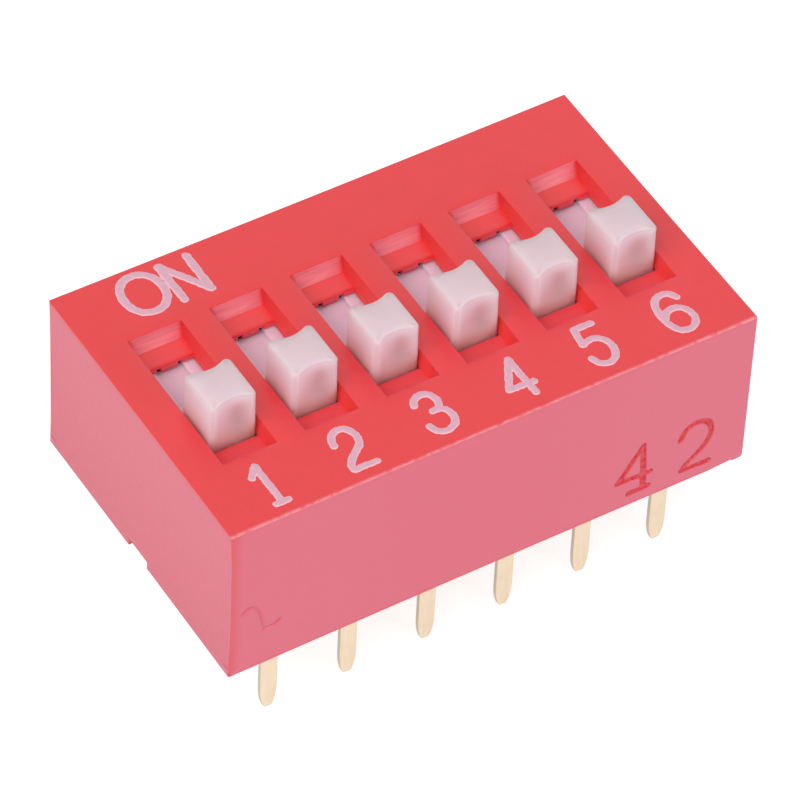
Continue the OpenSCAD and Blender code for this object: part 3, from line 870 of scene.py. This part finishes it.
def add_window(shell, s, middle, top, inside, front, back, side):
    """Adds one cell of the roof: its window, and a tongue under each ledge.

    The window is a stack of rings. Each is the cell's columns, from -1 to 1, stretched to
    its half width and half length. The ceiling rises by the relief beside each tongue.
    """
    ceiling = top - s.roof
    ring = np.vstack([level(front, -1), np.column_stack([1 + 0 * side, side]),
                      level(-back, 1), np.column_stack([-1 + 0 * side, -side])])
    sizes = np.array([(s.pitch / 2, REACH, top), *window_levels(s, top),
                      (s.pitch / 2, REACH, ceiling)])
    points = np.stack([middle + ring[:, 0] * sizes[:, :1], ring[:, 1] * sizes[:, 1:2],
                       sizes[:, 2:] + 0 * ring[:, 0]], -1)
    points[-1, :, 0] = np.clip(points[-1, :, 0], -inside[0], inside[0])
    points[-2, :, 2] += s.relief * np.concatenate([
        between_pairs(front), 0 * side, between_pairs(back), 0 * side])
    near, far = ((ring[:, 1] == end) & (abs(ring[:, 0]) < 1) for end in (-1, 1))
    # Marks for the painted sheen: -1 on the far walls and a little on the ledges, which
    # moulded_red draws paler there
    film = np.zeros(points.shape[:2])
    film[WALL_RINGS] = -1.0 * far
    film[LEDGE_RINGS] = -0.2 * near - 0.1 * far
    shell.grid(points, ring=True, mark=film)

    root = 0.1 * MM  # How far a tongue is let into the ceiling and the wall
    depth = s.tongue_height + root
    y = np.array([s.opening / 2 + 0.006 * MM, 2.4 * MM, 3.3 * MM, inside[1] + root])
    for sign in (-1, 1):
        line = level(sign * y, ceiling + root - depth / 2)
        strip(shell, line, s.tongue_width / 2, depth, 0.03 * MM, middle)


def add_feet(shell, s, half):
    """Adds a foot at each corner: a five-sided block, drawn in at the bottom."""
    short = 0.4 * s.foot
    block = rounded([(0, 0), (-s.foot, 0), (-s.foot, -short), (-short, -s.foot),
                     (0, -s.foot)], 0.09 * MM)
    hub = block.mean(0)
    for corner in ((-1, -1), (1, -1), (1, 1), (-1, 1)):
        rings = []
        for inset, z in FOOT_RINGS:
            outline = (hub + (block - hub) * (1 - inset) + half) * corner
            rings.append(level(outline, np.maximum(z * MM, worn_height(s, half, outline))))
        index = shell.grid(np.stack(rings), ring=True)
        shell.cap(index[0])
        shell.cap(index[-1])


def housing_surface(s):
    """The cover as one closed shell.

    Its outer wall is a grid of columns round a rounded rectangle and of rows up to a
    rounded top edge. Flat bands join it to the inner wall, and to the cells of the roof.
    """
    low, high = corners("housing")
    top, ceiling = high[2], high[2] - s.roof
    half = (high - low)[:2] / 2
    inside = half - [s.end_wall, s.side_wall]
    cells = cell_columns(s)
    base, normal, lift = wall_columns(s, half, cells)
    warp = smooth_step((base[:, 0] - 7 * MM) / MM) * smooth_step(-base[:, 1] / half[1])
    foot = np.maximum(s.rim + s.warp * warp, worn_height(s, half, base)) + lift * s.vent_height

    # Outer wall, and the band of the top face between its edge and the windows' cells
    shell = Shell()
    wall, marks = outer_wall(s, half, top, base, normal, foot)
    shell.grid(wall, ring=True, mark=marks)
    frame_half = np.array([SWITCHES / 2 * s.pitch, REACH])
    bands = [np.clip(base, -limit, limit)
             for limit in (half - 0.1 * MM, half - 0.14 * MM, frame_half)]
    shell.grid(np.stack([wall[-1], *(level(band, top) for band in bands)]), ring=True)

    # Rim, inner wall with the groove for the base's bead, and the band of ceiling
    inner = np.clip(base, -inside, inside)
    rise = np.concatenate([[s.rim, s.rim + s.vent_height],
                           s.bead_height + s.bead * np.linspace(-1, 1, 13),
                           [3 * MM, ceiling]])
    inner_z = np.maximum(rise[:, None], foot)
    grooved = ((abs(normal[:, 0]) == 1)
               & (abs(base[:, 1]) < s.bead_length / 2 + 0.01 * MM))
    groove = grooved * np.sqrt(np.maximum(s.bead**2 - (inner_z - s.bead_height)**2, 0))
    shell.grid(np.stack([wall[0], level(inner, foot)]), ring=True)
    shell.grid(np.stack([inner[:, 0] + normal[:, 0] * groove, inner[:, 1] + 0 * groove,
                         inner_z], -1), ring=True)
    limit = np.array([inside[0], REACH])
    bands = inner, np.clip(inner, -limit, limit)
    shell.grid(np.stack([level(band, ceiling) for band in bands]), ring=True)

    # Cells of the roof, whose last set of columns is that of every back, and feet
    side = end_columns(s, half)[0]
    side = np.unique(side[abs(side) <= REACH]) / REACH
    for middle, front in zip(switch_places(), cells):
        add_window(shell, s, middle, top, inside, front, cells[-1], side)
    add_feet(shell, s, half)
    return shell


def knob_outline(s, half_width, half_length, inset, share):
    """Outline of the knob, counterclockwise from the middle of its right side.

    The sides are straight. Front and back are arcs of radius hollow + inset about points
    outside the knob, and an arc at each corner touches both. Between the corners, share of
    the arcs' depth is kept: 1 keeps them, 0 gives straight lines.
    """
    corner = np.array([half_width - s.corner, half_length - s.corner])
    hollow = s.hollow + inset
    reach = hollow + s.corner
    hollow_y = corner[1] + np.sqrt(reach**2 - corner[0]**2)
    tilt = np.degrees(np.arcsin(corner[0] / reach))
    back = np.vstack([turn(corner, s.corner, 0, 90 + tilt, 8),
                      turn((0, hollow_y), hollow, tilt - 90, -90, 9)[1:]])
    between = back[:, 0] <= corner[0]
    back[between, 1] = half_length - share * (half_length - back[between, 1])
    right = np.vstack([back[::-1] * [1, -1], back])
    return np.vstack([right, right[-2:0:-1] * [-1, 1]])


def add_knob(shell, s, middle, ledge, foot, peak):
    """Adds the knob as a loft of its outline, from a foot inside the plate to its peak.

    The marks place painted shade: a bump beside the middle of the hollows, and a hump over
    each rounded edge.
    """
    shoulder = peak - s.edge
    fade = ledge + np.linspace(-0.03, s.fade / MM, 9) * MM
    rise = np.concatenate([[foot], fade, np.linspace(fade[-1], shoulder, 5)[1:]])
    round_over = turn((0, shoulder), s.edge, 0, 90, 6)[1:]
    rings, marks = [], []
    for z, inset in [(z, 0) for z in rise] + [(z, s.edge - x) for x, z in round_over]:
        lean = s.knob_lean * max(0, (z - ledge) / (peak - ledge))
        share = smooth_step((z - fade[0]) / (fade[-1] - fade[0]))
        outline = knob_outline(s, s.knob_width / 2 - lean - inset,
                               s.knob_length / 2 - inset, inset, share)
        rings.append(level(outline + middle, z))
        x = outline[:, 0]
        # Painted shade: darker beside the middle of the hollows, and over each rounded edge
        thin = smooth_step(1 - abs(x - 0.2 * MM) / (0.5 * MM))
        thin = (thin * smooth_step((z - ledge) / (0.7 * MM))
                * smooth_step((shoulder - z) / (0.45 * MM)))
        edges = np.maximum(hump((abs(x) - x.max() + s.corner) / s.corner),
                           hump((z - shoulder) / s.edge))
        marks.append(np.maximum(thin, s.edge_shade_share * edges))
    for share in (0.75, 0.45, 0.2, 0):
        rings.append(level(outline * share + middle, peak))
        marks.append(np.zeros(len(outline)))
    index = shell.grid(np.stack(rings), ring=True, mark=np.stack(marks))
    shell.cap(index[0, ::-1])


def add_plate(shell, s, low, high, under, plate_top):
    """Adds the plate with its groove and runners, as one section carried along Y."""
    middle = (low + high)[0] / 2
    w, c, g = (high - low)[0] / 2, s.channel_width / 2, s.groove_width / 2
    groove = plate_top - s.groove_depth
    section = rounded([
        (-w, low[2]), (-c, low[2]), (-c, under), (c, under), (c, low[2]), (w, low[2]),
        (w, plate_top), (g, plate_top), (g, groove), (-g, groove), (-g, plate_top),
        (-w, plate_top)], 0.04 * MM)
    ease = 0.03 * MM
    small = shrunk(section, ease)
    y = [low[1], *np.linspace(low[1] + ease, high[1] - ease, 12), high[1]]
    rows = [np.insert(outline, 1, v, axis=1)
            for outline, v in zip([small] + [section] * 12 + [small], y)]
    index = shell.grid(np.stack(rows) + [middle, 0, 0], ring=True)
    shell.cap(index[0])
    shell.cap(index[-1, ::-1])


def slider_surface(s, low, high, top):
    """One slider: its knob, its plate, and the peg that holds the spring below."""
    middle = (low + high)[:2] / 2
    plate_top = top - s.drop
    under = plate_top - s.plate
    shell = Shell()
    add_knob(shell, s, middle, top - s.ledge, plate_top - s.plate / 2, high[2])
    add_plate(shell, s, low, high, under, plate_top)
    r, end, bevel = s.peg / 2, under - 0.2 * MM, 0.03 * MM
    turned(shell, [(0, end), (r - bevel, end), (r, end + bevel), (r, under + 0.1 * MM),
                   (0, under + 0.1 * MM)], middle)
    return shell


def terminal_surface(s, low, high, rear):
    """One terminal: its strip carried from the contact pad round the bend and down the pin.

    Half the width is that of the pin less a cube over the tip, and widens evenly to the
    inner width above the shoulder.
    """
    outer, inner = (high[1], low[1]) if rear else (low[1], high[1])
    way = -1 if rear else 1
    t = s.strip / 2
    bend = np.array([outer + way * s.bend, high[2] - s.bend])
    arc = turn((0, 0), s.bend - t, 90, 180, 12) * [way, 1] + bend
    grow = (s.inner_width - s.pin_width) / 2
    wide, near = s.shoulder + grow, 0.01 * MM
    heights = np.concatenate([
        [2 * MM, wide + near, wide, s.shoulder, s.shoulder - near, 0.1 * MM],
        np.linspace(-0.4 * MM, low[2] + s.tip_length, 6),
        low[2] + s.tip_length * np.linspace(0.92, 0, 12)])
    line = np.vstack([[(inner, high[2] - t), ((inner + bend[0]) / 2, high[2] - t)], arc,
                      level(np.full(len(heights), outer + way * t), heights)])
    z = line[:, 1]
    taper = np.clip(1 - (z - low[2]) / s.tip_length, 0, 1)
    half_width = (s.pin_width / 2 - (s.pin_width - s.tip_width) / 2 * taper**3
                  + np.clip(z - s.shoulder, 0, grow))
    shell = Shell()
    strip(shell, line, half_width, s.strip, 0.03 * MM, (low + high)[0] / 2)
    return shell


def seal_surface():
    """The cast resin: a flat top, and an underside that creeps down the walls and the pins.

    Its height is the fill line less one bell near the walls and one round every pin.
    """
    low, high = corners("bottom_seal")
    u, v = np.meshgrid(np.linspace(low[0], high[0], 170), np.linspace(low[1], high[1], 97))
    wall = np.minimum(high[0] - abs(u), high[1] - abs(v))
    across = np.maximum(abs(u[..., None] - switch_places()) - 0.25 * MM, 0).min(-1)
    along = np.maximum(abs(abs(v) - PIN_ROW) - 0.1 * MM, 0)
    pin = np.hypot(across, along)
    creep = 0.06 * MM * np.exp(-wall / (0.14 * MM)) + 0.07 * MM * np.exp(-pin / (0.1 * MM))
    creep += 0.006 * MM * ripple(u / MM, v / MM, 11)
    under = np.stack([u, v, low[2] - np.clip(creep, -0.02 * MM, 0.09 * MM)], -1)
    shell = Shell()
    index = shell.grid(under)
    loop = np.concatenate([index[0], index[1:, -1], index[-1, -2::-1], index[-2:0:-1, 0]])
    edge = under.reshape(-1, 3)[loop]
    lid = shell.grid(np.stack([edge, edge * [1, 1, 0] + [0, 0, high[2]]]), ring=True)
    shell.cap(lid[1])
    return shell


def ink_surface(strokes, width, thickness, top):
    """Print as a field of heights over a square grid, kept where a stroke is near.

    The height falls from the ink's thickness to below the face across the stroke's edge, so
    the line where it meets the face is the stroke's outline. A ripple makes the edge uneven.
    """
    every = np.vstack([points for _, points in strokes]) * MM
    half, cell, slope = width / 2, 0.032 * MM, 0.05 * MM
    start, end = every.min(0) - half - 3 * slope, every.max(0) + half + 3 * slope
    u, v = np.meshgrid(np.arange(start[0], end[0], cell), np.arange(start[1], end[1], cell))
    uneven = 0.016 * MM * ripple(u / (0.08 * MM), v / (0.08 * MM), 7)
    gap = stroke_distance(u, v, strokes) + uneven
    rise = thickness * (2 * smooth_step((half + slope - gap) / (2 * slope)) - 1)
    kept = gap < half + slope
    kept = kept[:-1, :-1] | kept[1:, :-1] | kept[:-1, 1:] | kept[1:, 1:]
    shell = Shell()
    index = np.arange(u.size).reshape(u.shape)
    floor = index + u.size
    for z, mark in ((top + rise, gap / half), (top - 0.05 * MM + 0 * u, 0 * u)):
        shell.points.append(np.stack([u, v, z], -1).reshape(-1, 3))
        shell.marks.append(mark.ravel())
    shell.faces(*(index[rows, columns][kept] for rows, columns in QUAD_CORNERS))
    shell.faces(*(floor[rows, columns][kept] for rows, columns in QUAD_CORNERS[::-1]))
    around = np.pad(kept, 1)
    rows, columns = kept.shape
    for (row, column), a, b in zip(BESIDE, QUAD_CORNERS, QUAD_CORNERS[1:] + QUAD_CORNERS[:1]):
        edge = kept & ~around[row:row + rows, column:column + columns]
        shell.faces(index[a][edge], index[b][edge], floor[b][edge], floor[a][edge])
    return shell


def finish_numbers(mesh):
    """Material number of every face: 1 in the cut strokes, 2 on the steep sides of the
    windows, and otherwise 0."""
    mark = np.empty(len(mesh.vertices), np.float32)
    mesh.attributes["mark"].data.foreach_get("value", mark)
    point = np.empty(len(mesh.loops), np.int32)
    mesh.loops.foreach_get("vertex_index", point)
    start = np.empty(len(mesh.polygons), np.int32)
    mesh.polygons.foreach_get("loop_start", start)
    middle, normal = np.empty((2, len(mesh.polygons), 3), np.float32)
    mesh.polygons.foreach_get("center", middle.ravel())
    mesh.polygons.foreach_get("normal", normal.ravel())

    # A window's sides face along X, and stand within its width and length
    across = np.abs(middle[:, :1] - switch_places()).min(1)
    side = ((across < 0.9 * MM) & (np.abs(middle[:, 1]) < 2.7 * MM)
            & (np.abs(normal[:, 0]) > 0.9))
    cut = np.minimum.reduceat(mark[point], start) > CUT_MARK
    return np.where(side, 2, cut).astype(np.int32)


class SLIDESWITCH_OT_housing(bpy.types.Operator):
    """Makes the red cover with its windows, tongues, feet and cut digits"""
    bl_idname = "slideswitch.housing"
    bl_label = "Housing"

    def execute(self, context):
        settings = context.scene.slide_switch.housing
        piece = housing_surface(settings).object("housing_cover")
        place(piece, MAIN_BODY, "housing_plastic", moulded_red(settings), "housing")
        piece.data.materials.append(cut_red(settings))
        piece.data.materials.append(window_red(settings))
        piece.data.polygons.foreach_set("material_index", finish_numbers(piece.data))
        return {"FINISHED"}


class SLIDESWITCH_OT_sliders(bpy.types.Operator):
    """Makes the six sliders, each on its own body"""
    bl_idname = "slideswitch.sliders"
    bl_label = "Sliders"

    def execute(self, context):
        settings = context.scene.slide_switch.slider
        finish = milky_white(settings)
        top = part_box("housing")[1][2]
        for number in range(1, SWITCHES + 1):
            body = f"slider_{number}"
            shell = slider_surface(settings, *corners(body), top)
            piece = shell.object(f"knob_and_plate_{number}")
            place(piece, body, "slider_plastic", finish, body)
        return {"FINISHED"}


class SLIDESWITCH_OT_terminals(bpy.types.Operator):
    """Makes the twelve terminals"""
    bl_idname = "slideswitch.terminals"
    bl_label = "Terminals"

    def execute(self, context):
        settings = context.scene.slide_switch.terminal
        finish = thin_gold(settings)
        for row in ("front", "rear"):
            for number in range(1, SWITCHES + 1):
                node = f"{row}_terminal_{number}"
                shell = terminal_surface(settings, *corners(node), row == "rear")
                piece = shell.object(f"{row}_pin_{number}")
                place(piece, MAIN_BODY, "terminal_metal", finish, node)
        return {"FINISHED"}


class SLIDESWITCH_OT_seal(bpy.types.Operator):
    """Makes the resin under the base"""
    bl_idname = "slideswitch.seal"
    bl_label = "Seal"

    def execute(self, context):
        finish = cast_resin(context.scene.slide_switch.inside)
        piece = seal_surface().object("resin_seal")
        place(piece, MAIN_BODY, "seal_resin", finish, "bottom_seal")
        return {"FINISHED"}


class SLIDESWITCH_OT_print(bpy.types.Operator):
    """Makes the printed word and numbers as thin raised ink"""
    bl_idname = "slideswitch.print"
    bl_label = "Print"

    def execute(self, context):
        settings = context.scene.slide_switch.print
        finish = screen_ink(settings)
        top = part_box("housing")[1][2]
        for text, strokes in PRINT.items():
            width = settings.number_stroke if text.isdigit() else settings.word_stroke
            shell = ink_surface(strokes, width, settings.height, top)
            piece = shell.object(f"print_{text}", 60)
            place(piece, MAIN_BODY, "print_ink", finish)
        return {"FINISHED"}


class SLIDESWITCH_OT_inside(bpy.types.Operator):
    """Finishes the base and the springs, whose solids are shown as they are"""
    bl_idname = "slideswitch.inside"
    bl_label = "Base and springs"

    def execute(self, context):
        settings = context.scene.slide_switch.inside
        finishes = {"base": dark_base(settings)}
        springs = [f"spring_{number}" for number in range(1, SWITCHES + 1)]
        finishes.update(dict.fromkeys(springs, spring_alloy(settings)))
        for name, finish in finishes.items():
            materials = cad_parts[name].data.materials
            materials.clear()
            materials.append(finish)
        return {"FINISHED"}


class SLIDESWITCH_OT_stage(bpy.types.Operator):
    """Makes the floor, the lamps, the surroundings and the camera"""
    bl_idname = "slideswitch.stage"
    bl_label = "Stage"

    def execute(self, context):
        settings = context.scene.slide_switch.stage
        scene = context.scene
        floor_z = CAD_BOX[0][2]
        side = np.linspace(-settings.floor / 2, settings.floor / 2, 41)
        x, y = np.meshgrid(side, side)
        shell = Shell()
        shell.grid(np.stack([x, y, 0 * x + floor_z], -1))
        floor = shell.object("floor")
        floor.data.materials.append(pale_floor(settings.glow))
        scene.world = surroundings(settings.around)
        lamp("key_lamp", settings.key, *KEY_LAMP)
        lamp("fill_lamp", settings.fill, *FILL_LAMP)
        camera = bpy.data.objects.new("camera", bpy.data.cameras.new("camera"))
        scene.collection.objects.link(camera)
        camera.location = CAMERA_PLACE * MM
        camera.rotation_euler = np.radians(CAMERA_TURN)
        camera.data.lens = settings.lens
        camera.data.clip_start = 0.01
        scene.camera = camera
        scene.view_settings.view_transform = "Standard"
        return {"FINISHED"}


def seen_directly(tree):
    """1 for rays from the camera, from a mirror or through glass, and 0 for the rest."""
    path = add_node(tree, "ShaderNodeLightPath").outputs
    value = path["Is Camera Ray"]
    for name in ("Is Glossy Ray", "Is Transmission Ray"):
        inputs = {0: value, 1: path[name]}
        value = add_node(tree, "ShaderNodeMath", inputs, operation="MAXIMUM").outputs[0]
    return value


def surroundings(strength):
    """White where it is seen, and a softer even light on everything else."""
    world = bpy.data.worlds.new("surroundings")
    world.use_nodes = True
    tree = world.node_tree
    background = tree.nodes["Background"].inputs
    background["Color"].default_value = (1, 1, 1, 1)
    inputs = {"Value": seen_directly(tree), 3: strength, 4: 1.0}
    light = add_node(tree, "ShaderNodeMapRange", inputs).outputs[0]
    tree.links.new(light, background["Strength"])
    return world


def pale_floor(glow):
    """Floor that keeps the object's shadow: pale grey, plus a white glow where it is seen."""
    finish = Finish("pale_floor", Roughness=0.9, Specular_IOR_Level=0.0)
    grain = finish.clouds(0.02, 2, 0.3)
    finish.link("Base Color", finish.mix(grain, (0.55, 0.55, 0.55, 1), (0.57, 0.57, 0.57, 1)))
    finish.shader.inputs["Emission Color"].default_value = (1, 1, 1, 1)
    finish.link("Emission Strength", finish.times(seen_directly(finish.tree), glow))
    return finish.material


def lamp(name, watts, location, size, color):
    """A square area lamp that faces the middle of the switch."""
    data = bpy.data.lights.new(name, "AREA")
    data.size = size
    data.energy = watts
    data.color = color
    item = bpy.data.objects.new(name, data)
    item.location = location
    item.rotation_mode = "QUATERNION"
    item.rotation_quaternion = item.location.to_track_quat("Z", "Y")
    bpy.context.scene.collection.objects.link(item)


class SLIDESWITCH_PT_pieces(bpy.types.Panel):
    """Lists the operators and the settings that they use"""
    bl_label = "Slide switch"
    bl_space_type = "VIEW_3D"
    bl_region_type = "UI"
    bl_category = "Slide switch"

    def draw(self, context):
        settings = context.scene.slide_switch
        for operator, group in OPERATORS:
            self.layout.operator(operator.bl_idname)
            if group:
                box = self.layout.box()
                values = getattr(settings, group)
                for name in values.__annotations__:
                    box.prop(values, name)


OPERATORS = (
    (SLIDESWITCH_OT_housing, "housing"), (SLIDESWITCH_OT_sliders, "slider"),
    (SLIDESWITCH_OT_terminals, "terminal"), (SLIDESWITCH_OT_print, "print"),
    (SLIDESWITCH_OT_seal, None), (SLIDESWITCH_OT_inside, "inside"),
    (SLIDESWITCH_OT_stage, "stage"),
)
CLASSES = (
    HousingSettings, SliderSettings, TerminalSettings, PrintSettings, InsideSettings,
    StageSettings, SwitchSettings, *(operator for operator, _ in OPERATORS),
    SLIDESWITCH_PT_pieces,
)


def register():
    for item in CLASSES:
        bpy.utils.register_class(item)
    bpy.types.Scene.slide_switch = PointerProperty(type=SwitchSettings)


def unregister():
    del bpy.types.Scene.slide_switch
    for item in reversed(CLASSES):
        bpy.utils.unregister_class(item)


def main():
    """Runs every operator."""
    register()
    for operator, _ in OPERATORS:
        group, name = operator.bl_idname.split(".")
        getattr(getattr(bpy.ops, group), name)()


if __name__ == "__main__":
    main()
